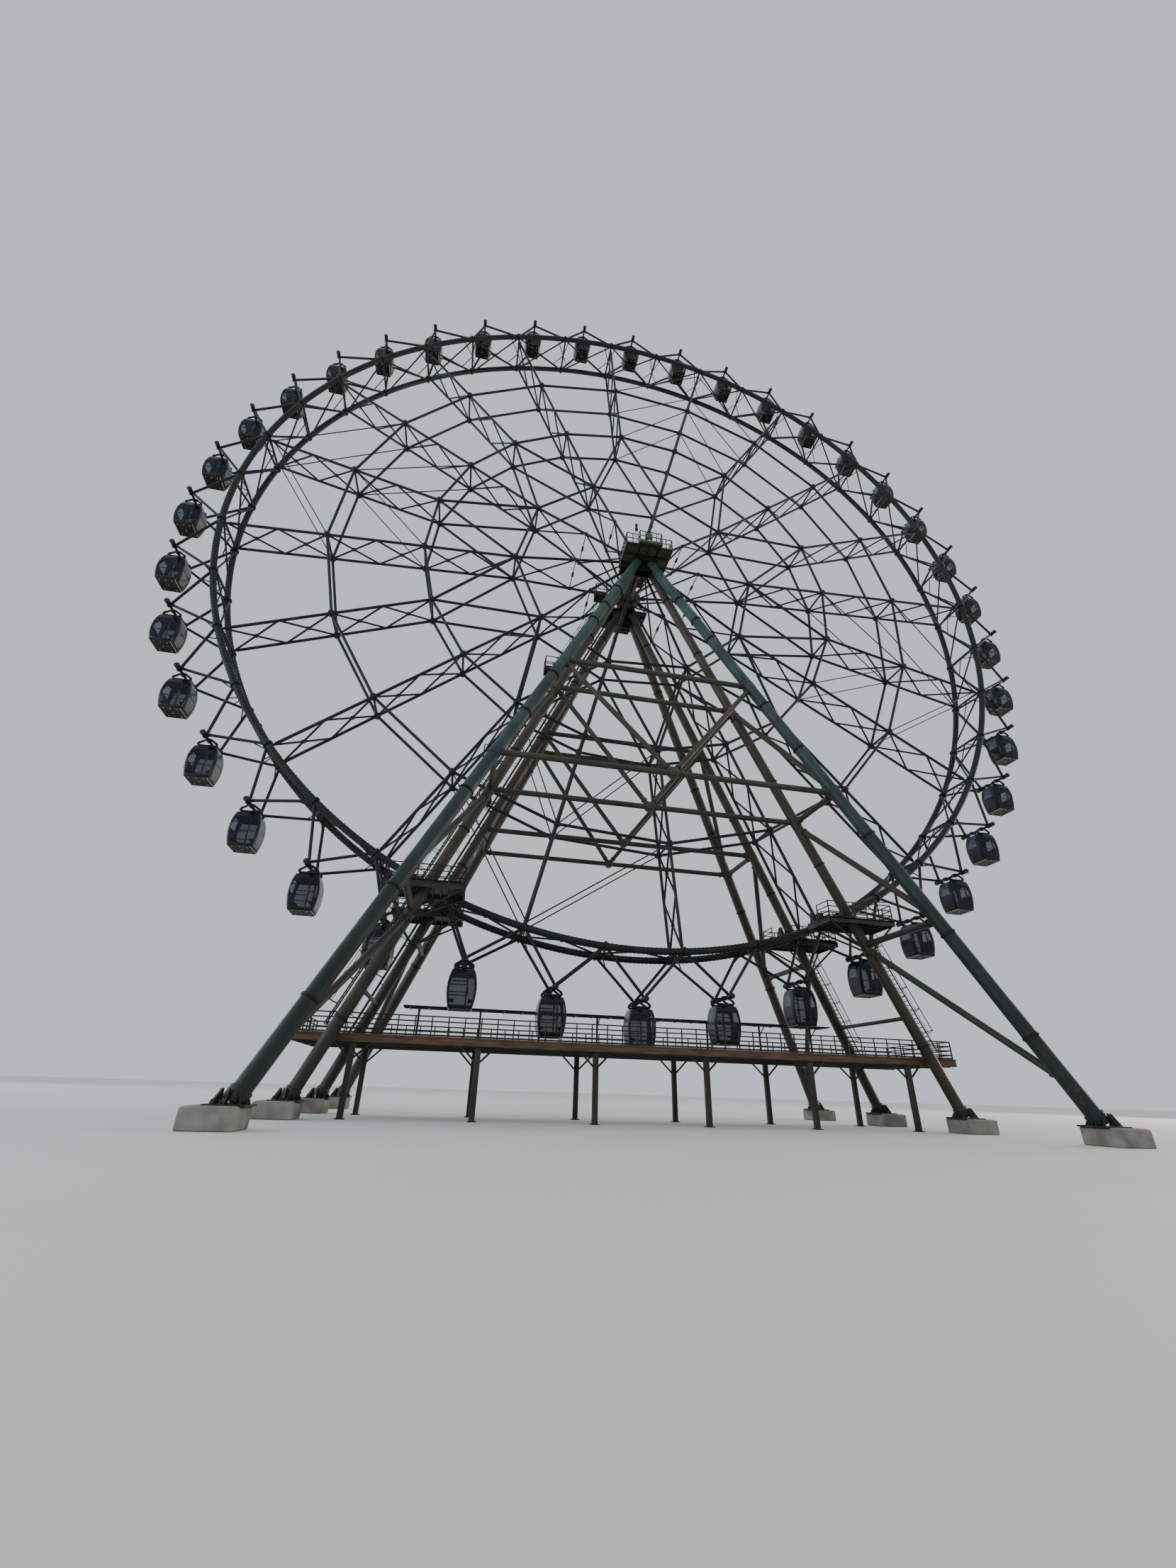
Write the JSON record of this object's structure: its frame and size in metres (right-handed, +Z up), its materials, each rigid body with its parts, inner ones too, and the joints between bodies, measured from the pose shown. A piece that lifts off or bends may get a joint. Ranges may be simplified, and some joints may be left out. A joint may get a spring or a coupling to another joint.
{
  "type": "ferris wheel at 1:10 scale",
  "caption": "Free-standing giant ferris wheel scale model: braced wheel turning on four leaning leg frames, with level cabins hung around the rim.",
  "frame": {"origin": "on the ground straight below the hub", "axes": "+Z up, +Y along the axle away from the near side, +X to the right seen from the near side"},
  "size_m": [7.928, 2.8986, 8.49],
  "materials": {
    "tower_paint": "satin grey-green paint",
    "wheel_paint": "satin grey paint",
    "machinery": "weathered brown-grey paint",
    "deck_boards": "matt brown",
    "cabin_shell": "gloss dark glazing and frame"
  },
  "bodies": {
    "tower": {"near_outer_frame": "tower_paint", "near_inner_frame": "tower_paint", "near_hub_platform": "tower_paint", "near_bearing": "machinery", "near_left_drive": "machinery", "near_right_drive": "machinery", "far_outer_frame": "tower_paint", "far_inner_frame": "tower_paint", "far_hub_platform": "tower_paint", "far_bearing": "machinery", "far_left_drive": "machinery", "far_right_drive": "machinery", "boarding_deck": "deck_boards", "boarding_canopy": "tower_paint"},
    "wheel": {"rim": "wheel_paint", "axle": "machinery", "spokes_left": "wheel_paint", "spokes_top": "wheel_paint", "spokes_right": "wheel_paint", "spokes_bottom": "wheel_paint"},
    "cabin_01_body": {"cabin_01": "cabin_shell"},
    "cabin_02_body": {"cabin_02": "cabin_shell"},
    "cabin_03_body": {"cabin_03": "cabin_shell"},
    "cabin_04_body": {"cabin_04": "cabin_shell"},
    "cabin_05_body": {"cabin_05": "cabin_shell"},
    "cabin_06_body": {"cabin_06": "cabin_shell"},
    "cabin_07_body": {"cabin_07": "cabin_shell"},
    "cabin_08_body": {"cabin_08": "cabin_shell"},
    "cabin_09_body": {"cabin_09": "cabin_shell"},
    "cabin_10_body": {"cabin_10": "cabin_shell"},
    "cabin_11_body": {"cabin_11": "cabin_shell"},
    "cabin_12_body": {"cabin_12": "cabin_shell"},
    "cabin_13_body": {"cabin_13": "cabin_shell"},
    "cabin_14_body": {"cabin_14": "cabin_shell"},
    "cabin_15_body": {"cabin_15": "cabin_shell"},
    "cabin_16_body": {"cabin_16": "cabin_shell"},
    "cabin_17_body": {"cabin_17": "cabin_shell"},
    "cabin_18_body": {"cabin_18": "cabin_shell"},
    "cabin_19_body": {"cabin_19": "cabin_shell"},
    "cabin_20_body": {"cabin_20": "cabin_shell"},
    "cabin_21_body": {"cabin_21": "cabin_shell"},
    "cabin_22_body": {"cabin_22": "cabin_shell"},
    "cabin_23_body": {"cabin_23": "cabin_shell"},
    "cabin_24_body": {"cabin_24": "cabin_shell"},
    "cabin_25_body": {"cabin_25": "cabin_shell"},
    "cabin_26_body": {"cabin_26": "cabin_shell"},
    "cabin_27_body": {"cabin_27": "cabin_shell"},
    "cabin_28_body": {"cabin_28": "cabin_shell"},
    "cabin_29_body": {"cabin_29": "cabin_shell"},
    "cabin_30_body": {"cabin_30": "cabin_shell"},
    "cabin_31_body": {"cabin_31": "cabin_shell"},
    "cabin_32_body": {"cabin_32": "cabin_shell"},
    "cabin_33_body": {"cabin_33": "cabin_shell"},
    "cabin_34_body": {"cabin_34": "cabin_shell"},
    "cabin_35_body": {"cabin_35": "cabin_shell"},
    "cabin_36_body": {"cabin_36": "cabin_shell"},
    "cabin_37_body": {"cabin_37": "cabin_shell"},
    "cabin_38_body": {"cabin_38": "cabin_shell"},
    "cabin_39_body": {"cabin_39": "cabin_shell"},
    "cabin_40_body": {"cabin_40": "cabin_shell"}
  },
  "joints": [
    {"name": "wheel_spin", "type": "hinge", "parent": "tower", "child": "wheel", "pos_m": [0, 0, 4.6], "axis": [0, 1, 0], "continuous": true},
    {"name": "cabin_01_pivot", "type": "hinge", "parent": "wheel", "child": "cabin_01_body", "pos_m": [0.01351, 0, 0.73002], "axis": [0, 1, 0], "continuous": true},
    {"name": "cabin_02_pivot", "type": "hinge", "parent": "wheel", "child": "cabin_02_body", "pos_m": [-0.59206, 0, 0.77556], "axis": [0, 1, 0], "continuous": true},
    {"name": "cabin_03_pivot", "type": "hinge", "parent": "wheel", "child": "cabin_03_body", "pos_m": [-1.18304, 0, 0.91526], "axis": [0, 1, 0], "continuous": true},
    {"name": "cabin_04_pivot", "type": "hinge", "parent": "wheel", "child": "cabin_04_body", "pos_m": [-1.7449, 0, 1.14569], "axis": [0, 1, 0], "continuous": true},
    {"name": "cabin_05_pivot", "type": "hinge", "parent": "wheel", "child": "cabin_05_body", "pos_m": [-2.26379, 0, 1.46118], "axis": [0, 1, 0], "continuous": true},
    {"name": "cabin_06_pivot", "type": "hinge", "parent": "wheel", "child": "cabin_06_body", "pos_m": [-2.72693, 0, 1.85396], "axis": [0, 1, 0], "continuous": true},
    {"name": "cabin_07_pivot", "type": "hinge", "parent": "wheel", "child": "cabin_07_body", "pos_m": [-3.12294, 0, 2.31436], "axis": [0, 1, 0], "continuous": true},
    {"name": "cabin_08_pivot", "type": "hinge", "parent": "wheel", "child": "cabin_08_body", "pos_m": [-3.44204, 0, 2.83103], "axis": [0, 1, 0], "continuous": true},
    {"name": "cabin_09_pivot", "type": "hinge", "parent": "wheel", "child": "cabin_09_body", "pos_m": [-3.67639, 0, 3.39126], "axis": [0, 1, 0], "continuous": true},
    {"name": "cabin_10_pivot", "type": "hinge", "parent": "wheel", "child": "cabin_10_body", "pos_m": [-3.82022, 0, 3.98126], "axis": [0, 1, 0], "continuous": true},
    {"name": "cabin_11_pivot", "type": "hinge", "parent": "wheel", "child": "cabin_11_body", "pos_m": [-3.86998, 0, 4.58649], "axis": [0, 1, 0], "continuous": true},
    {"name": "cabin_12_pivot", "type": "hinge", "parent": "wheel", "child": "cabin_12_body", "pos_m": [-3.82444, 0, 5.19206], "axis": [0, 1, 0], "continuous": true},
    {"name": "cabin_13_pivot", "type": "hinge", "parent": "wheel", "child": "cabin_13_body", "pos_m": [-3.68474, 0, 5.78304], "axis": [0, 1, 0], "continuous": true},
    {"name": "cabin_14_pivot", "type": "hinge", "parent": "wheel", "child": "cabin_14_body", "pos_m": [-3.45431, 0, 6.3449], "axis": [0, 1, 0], "continuous": true},
    {"name": "cabin_15_pivot", "type": "hinge", "parent": "wheel", "child": "cabin_15_body", "pos_m": [-3.13882, 0, 6.86379], "axis": [0, 1, 0], "continuous": true},
    {"name": "cabin_16_pivot", "type": "hinge", "parent": "wheel", "child": "cabin_16_body", "pos_m": [-2.74604, 0, 7.32693], "axis": [0, 1, 0], "continuous": true},
    {"name": "cabin_17_pivot", "type": "hinge", "parent": "wheel", "child": "cabin_17_body", "pos_m": [-2.28564, 0, 7.72294], "axis": [0, 1, 0], "continuous": true},
    {"name": "cabin_18_pivot", "type": "hinge", "parent": "wheel", "child": "cabin_18_body", "pos_m": [-1.76897, 0, 8.04204], "axis": [0, 1, 0], "continuous": true},
    {"name": "cabin_19_pivot", "type": "hinge", "parent": "wheel", "child": "cabin_19_body", "pos_m": [-1.20874, 0, 8.27639], "axis": [0, 1, 0], "continuous": true},
    {"name": "cabin_20_pivot", "type": "hinge", "parent": "wheel", "child": "cabin_20_body", "pos_m": [-0.61874, 0, 8.42022], "axis": [0, 1, 0], "continuous": true},
    {"name": "cabin_21_pivot", "type": "hinge", "parent": "wheel", "child": "cabin_21_body", "pos_m": [-0.01351, 0, 8.46998], "axis": [0, 1, 0], "continuous": true},
    {"name": "cabin_22_pivot", "type": "hinge", "parent": "wheel", "child": "cabin_22_body", "pos_m": [0.59206, 0, 8.42444], "axis": [0, 1, 0], "continuous": true},
    {"name": "cabin_23_pivot", "type": "hinge", "parent": "wheel", "child": "cabin_23_body", "pos_m": [1.18304, 0, 8.28474], "axis": [0, 1, 0], "continuous": true},
    {"name": "cabin_24_pivot", "type": "hinge", "parent": "wheel", "child": "cabin_24_body", "pos_m": [1.7449, 0, 8.05431], "axis": [0, 1, 0], "continuous": true},
    {"name": "cabin_25_pivot", "type": "hinge", "parent": "wheel", "child": "cabin_25_body", "pos_m": [2.26379, 0, 7.73882], "axis": [0, 1, 0], "continuous": true},
    {"name": "cabin_26_pivot", "type": "hinge", "parent": "wheel", "child": "cabin_26_body", "pos_m": [2.72693, 0, 7.34604], "axis": [0, 1, 0], "continuous": true},
    {"name": "cabin_27_pivot", "type": "hinge", "parent": "wheel", "child": "cabin_27_body", "pos_m": [3.12294, 0, 6.88564], "axis": [0, 1, 0], "continuous": true},
    {"name": "cabin_28_pivot", "type": "hinge", "parent": "wheel", "child": "cabin_28_body", "pos_m": [3.44204, 0, 6.36897], "axis": [0, 1, 0], "continuous": true},
    {"name": "cabin_29_pivot", "type": "hinge", "parent": "wheel", "child": "cabin_29_body", "pos_m": [3.67639, 0, 5.80874], "axis": [0, 1, 0], "continuous": true},
    {"name": "cabin_30_pivot", "type": "hinge", "parent": "wheel", "child": "cabin_30_body", "pos_m": [3.82022, 0, 5.21874], "axis": [0, 1, 0], "continuous": true},
    {"name": "cabin_31_pivot", "type": "hinge", "parent": "wheel", "child": "cabin_31_body", "pos_m": [3.86998, 0, 4.61351], "axis": [0, 1, 0], "continuous": true},
    {"name": "cabin_32_pivot", "type": "hinge", "parent": "wheel", "child": "cabin_32_body", "pos_m": [3.82444, 0, 4.00794], "axis": [0, 1, 0], "continuous": true},
    {"name": "cabin_33_pivot", "type": "hinge", "parent": "wheel", "child": "cabin_33_body", "pos_m": [3.68474, 0, 3.41696], "axis": [0, 1, 0], "continuous": true},
    {"name": "cabin_34_pivot", "type": "hinge", "parent": "wheel", "child": "cabin_34_body", "pos_m": [3.45431, 0, 2.8551], "axis": [0, 1, 0], "continuous": true},
    {"name": "cabin_35_pivot", "type": "hinge", "parent": "wheel", "child": "cabin_35_body", "pos_m": [3.13882, 0, 2.33621], "axis": [0, 1, 0], "continuous": true},
    {"name": "cabin_36_pivot", "type": "hinge", "parent": "wheel", "child": "cabin_36_body", "pos_m": [2.74604, 0, 1.87307], "axis": [0, 1, 0], "continuous": true},
    {"name": "cabin_37_pivot", "type": "hinge", "parent": "wheel", "child": "cabin_37_body", "pos_m": [2.28564, 0, 1.47706], "axis": [0, 1, 0], "continuous": true},
    {"name": "cabin_38_pivot", "type": "hinge", "parent": "wheel", "child": "cabin_38_body", "pos_m": [1.76897, 0, 1.15796], "axis": [0, 1, 0], "continuous": true},
    {"name": "cabin_39_pivot", "type": "hinge", "parent": "wheel", "child": "cabin_39_body", "pos_m": [1.20874, 0, 0.92361], "axis": [0, 1, 0], "continuous": true},
    {"name": "cabin_40_pivot", "type": "hinge", "parent": "wheel", "child": "cabin_40_body", "pos_m": [0.61874, 0, 0.77978], "axis": [0, 1, 0], "continuous": true}
  ],
  "couplings": [
    {"joint": "cabin_01_pivot", "follows": "wheel_spin", "ratio": -1},
    {"joint": "cabin_02_pivot", "follows": "wheel_spin", "ratio": -1},
    {"joint": "cabin_03_pivot", "follows": "wheel_spin", "ratio": -1},
    {"joint": "cabin_04_pivot", "follows": "wheel_spin", "ratio": -1},
    {"joint": "cabin_05_pivot", "follows": "wheel_spin", "ratio": -1},
    {"joint": "cabin_06_pivot", "follows": "wheel_spin", "ratio": -1},
    {"joint": "cabin_07_pivot", "follows": "wheel_spin", "ratio": -1},
    {"joint": "cabin_08_pivot", "follows": "wheel_spin", "ratio": -1},
    {"joint": "cabin_09_pivot", "follows": "wheel_spin", "ratio": -1},
    {"joint": "cabin_10_pivot", "follows": "wheel_spin", "ratio": -1},
    {"joint": "cabin_11_pivot", "follows": "wheel_spin", "ratio": -1},
    {"joint": "cabin_12_pivot", "follows": "wheel_spin", "ratio": -1},
    {"joint": "cabin_13_pivot", "follows": "wheel_spin", "ratio": -1},
    {"joint": "cabin_14_pivot", "follows": "wheel_spin", "ratio": -1},
    {"joint": "cabin_15_pivot", "follows": "wheel_spin", "ratio": -1},
    {"joint": "cabin_16_pivot", "follows": "wheel_spin", "ratio": -1},
    {"joint": "cabin_17_pivot", "follows": "wheel_spin", "ratio": -1},
    {"joint": "cabin_18_pivot", "follows": "wheel_spin", "ratio": -1},
    {"joint": "cabin_19_pivot", "follows": "wheel_spin", "ratio": -1},
    {"joint": "cabin_20_pivot", "follows": "wheel_spin", "ratio": -1},
    {"joint": "cabin_21_pivot", "follows": "wheel_spin", "ratio": -1},
    {"joint": "cabin_22_pivot", "follows": "wheel_spin", "ratio": -1},
    {"joint": "cabin_23_pivot", "follows": "wheel_spin", "ratio": -1},
    {"joint": "cabin_24_pivot", "follows": "wheel_spin", "ratio": -1},
    {"joint": "cabin_25_pivot", "follows": "wheel_spin", "ratio": -1},
    {"joint": "cabin_26_pivot", "follows": "wheel_spin", "ratio": -1},
    {"joint": "cabin_27_pivot", "follows": "wheel_spin", "ratio": -1},
    {"joint": "cabin_28_pivot", "follows": "wheel_spin", "ratio": -1},
    {"joint": "cabin_29_pivot", "follows": "wheel_spin", "ratio": -1},
    {"joint": "cabin_30_pivot", "follows": "wheel_spin", "ratio": -1},
    {"joint": "cabin_31_pivot", "follows": "wheel_spin", "ratio": -1},
    {"joint": "cabin_32_pivot", "follows": "wheel_spin", "ratio": -1},
    {"joint": "cabin_33_pivot", "follows": "wheel_spin", "ratio": -1},
    {"joint": "cabin_34_pivot", "follows": "wheel_spin", "ratio": -1},
    {"joint": "cabin_35_pivot", "follows": "wheel_spin", "ratio": -1},
    {"joint": "cabin_36_pivot", "follows": "wheel_spin", "ratio": -1},
    {"joint": "cabin_37_pivot", "follows": "wheel_spin", "ratio": -1},
    {"joint": "cabin_38_pivot", "follows": "wheel_spin", "ratio": -1},
    {"joint": "cabin_39_pivot", "follows": "wheel_spin", "ratio": -1},
    {"joint": "cabin_40_pivot", "follows": "wheel_spin", "ratio": -1}
  ]
}
